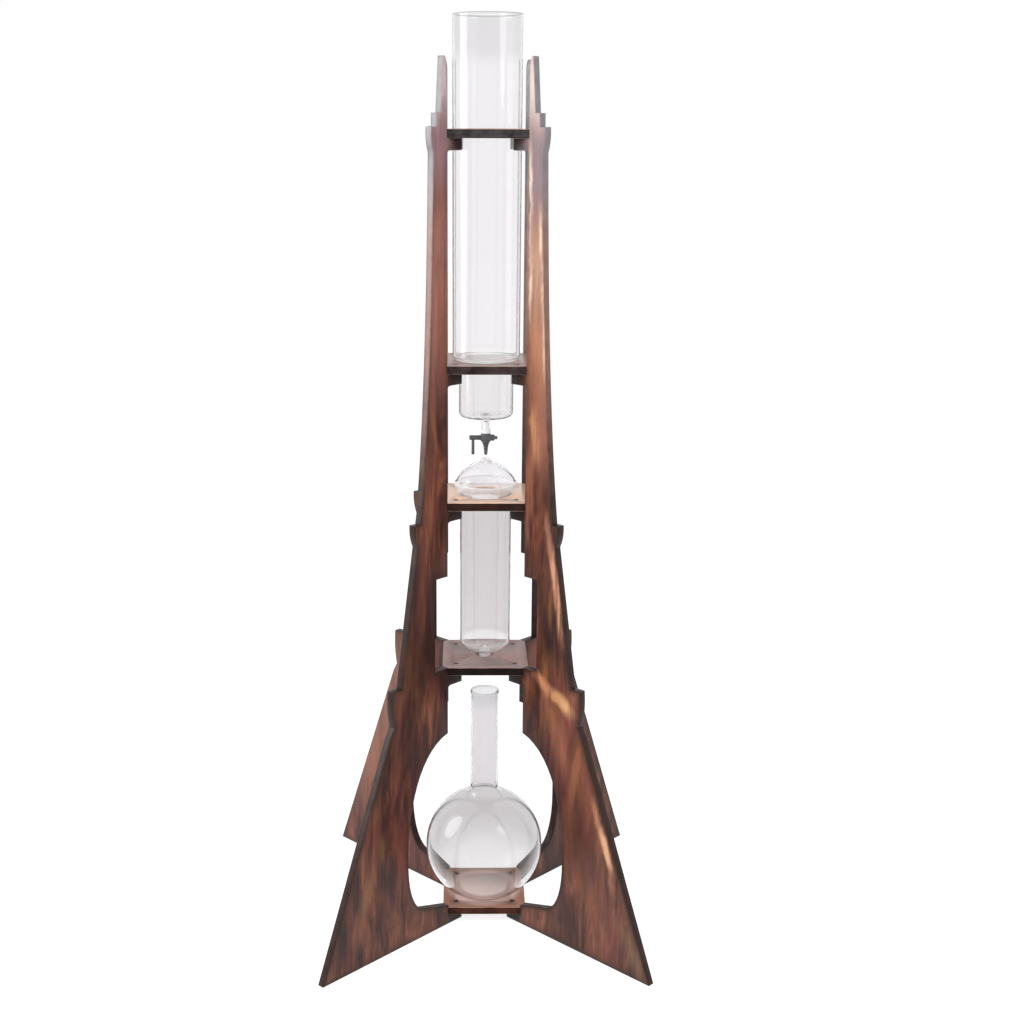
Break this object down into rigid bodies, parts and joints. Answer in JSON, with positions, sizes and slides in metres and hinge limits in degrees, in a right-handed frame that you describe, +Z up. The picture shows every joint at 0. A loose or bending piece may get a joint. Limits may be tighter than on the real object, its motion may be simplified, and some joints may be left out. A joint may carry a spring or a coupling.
{
  "type": "cold drip coffee tower",
  "caption": "Cold drip coffee tower: glass water tank with a tap above a lidded coffee chamber and a round flask, in a four-legged plywood stand.",
  "frame": {"origin": "on the floor, at the centre of the square that the four feet stand in, on the tower's upright axis", "axes": "+Z up, -Y to the front where the flask is put in, +X to the right seen from the front; the tap's lever hangs on the -X side"},
  "size_m": [0.4002, 0.4002, 1.11],
  "materials": {
    "stained_plywood": "reddish-brown stained plywood, satin varnish",
    "varnished_plywood": "reddish-brown stained plywood, glossy varnish",
    "screw_steel": "dark browned steel screws",
    "clear_glass": "clear polished borosilicate glass",
    "silicone": "translucent silicone",
    "tap_plastic": "dark grey moulded plastic, satin"
  },
  "bodies": {
    "stand": {"board_front_left": "stained_plywood", "board_front_right": "stained_plywood", "board_back_left": "stained_plywood", "board_back_right": "stained_plywood", "plate_tank_collar": "varnished_plywood", "plate_tank_rest": "varnished_plywood", "plate_chamber_rest": "varnished_plywood", "plate_outlet_guide": "varnished_plywood", "plate_flask_base": "varnished_plywood", "screws_tank_collar": "screw_steel", "screws_tank_rest": "screw_steel", "screws_chamber_rest": "screw_steel", "screws_outlet_guide": "screw_steel", "screws_flask_base": "screw_steel"},
    "tank": {"water_tank": "clear_glass", "tap_seal": "silicone", "tap_body": "tap_plastic"},
    "tap_valve": {"tap_plug": "tap_plastic", "tap_handle": "tap_plastic", "tap_cap": "tap_plastic"},
    "chamber": {"coffee_chamber": "clear_glass"},
    "lid": {"drip_lid": "clear_glass"},
    "flask": {"flask": "clear_glass"}
  },
  "joints": [
    {"name": "tank_lift", "type": "slide", "parent": "stand", "child": "tank", "axis": [0, 0, 1], "range_m": [0, 0.4]},
    {"name": "tap_turn", "type": "hinge", "parent": "tank", "child": "tap_valve", "pos_m": [0, 0, 0.6236], "axis": [-1, 0, 0], "range_deg": [0, 90]},
    {"name": "chamber_lift", "type": "slide", "parent": "stand", "child": "chamber", "axis": [0, 0, 1], "range_m": [0, 0.004]},
    {"name": "lid_slide", "type": "slide", "parent": "chamber", "child": "lid", "axis": [0, -1, 0], "range_m": [0, 0.12]},
    {"name": "flask_slide", "type": "slide", "parent": "stand", "child": "flask", "axis": [0, -1, 0], "range_m": [0, 0.28]}
  ]
}
